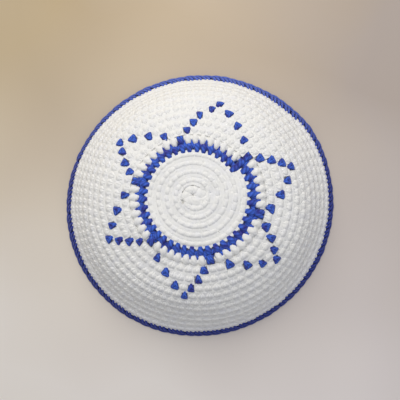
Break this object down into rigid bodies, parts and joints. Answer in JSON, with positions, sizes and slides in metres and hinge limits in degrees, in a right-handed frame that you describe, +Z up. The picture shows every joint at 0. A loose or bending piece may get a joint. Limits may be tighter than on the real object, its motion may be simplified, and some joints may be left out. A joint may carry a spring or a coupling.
{
  "type": "kippah skullcap",
  "caption": "Low domed crocheted skullcap, white with a blue ring, star points round the ring and a blue rim edging, worn on the crown of the head.",
  "frame": {"origin": "on the floor below the middle of the cap's box; the cap stands on its rim", "axes": "+Z up through the crown, +X to the right and +Y away in the picture, which looks down on the crown"},
  "size_m": [0.1708, 0.1676, 0.039],
  "materials": {
    "white_yarn": "matte crocheted cotton yarn",
    "blue_yarn": "matte crocheted cotton yarn"
  },
  "bodies": {
    "root": {"crown_disc": "white_yarn", "blue_ring": "blue_yarn", "star_band": "white_yarn", "side_wall": "white_yarn", "rim_edging": "blue_yarn"}
  },
  "joints": []
}
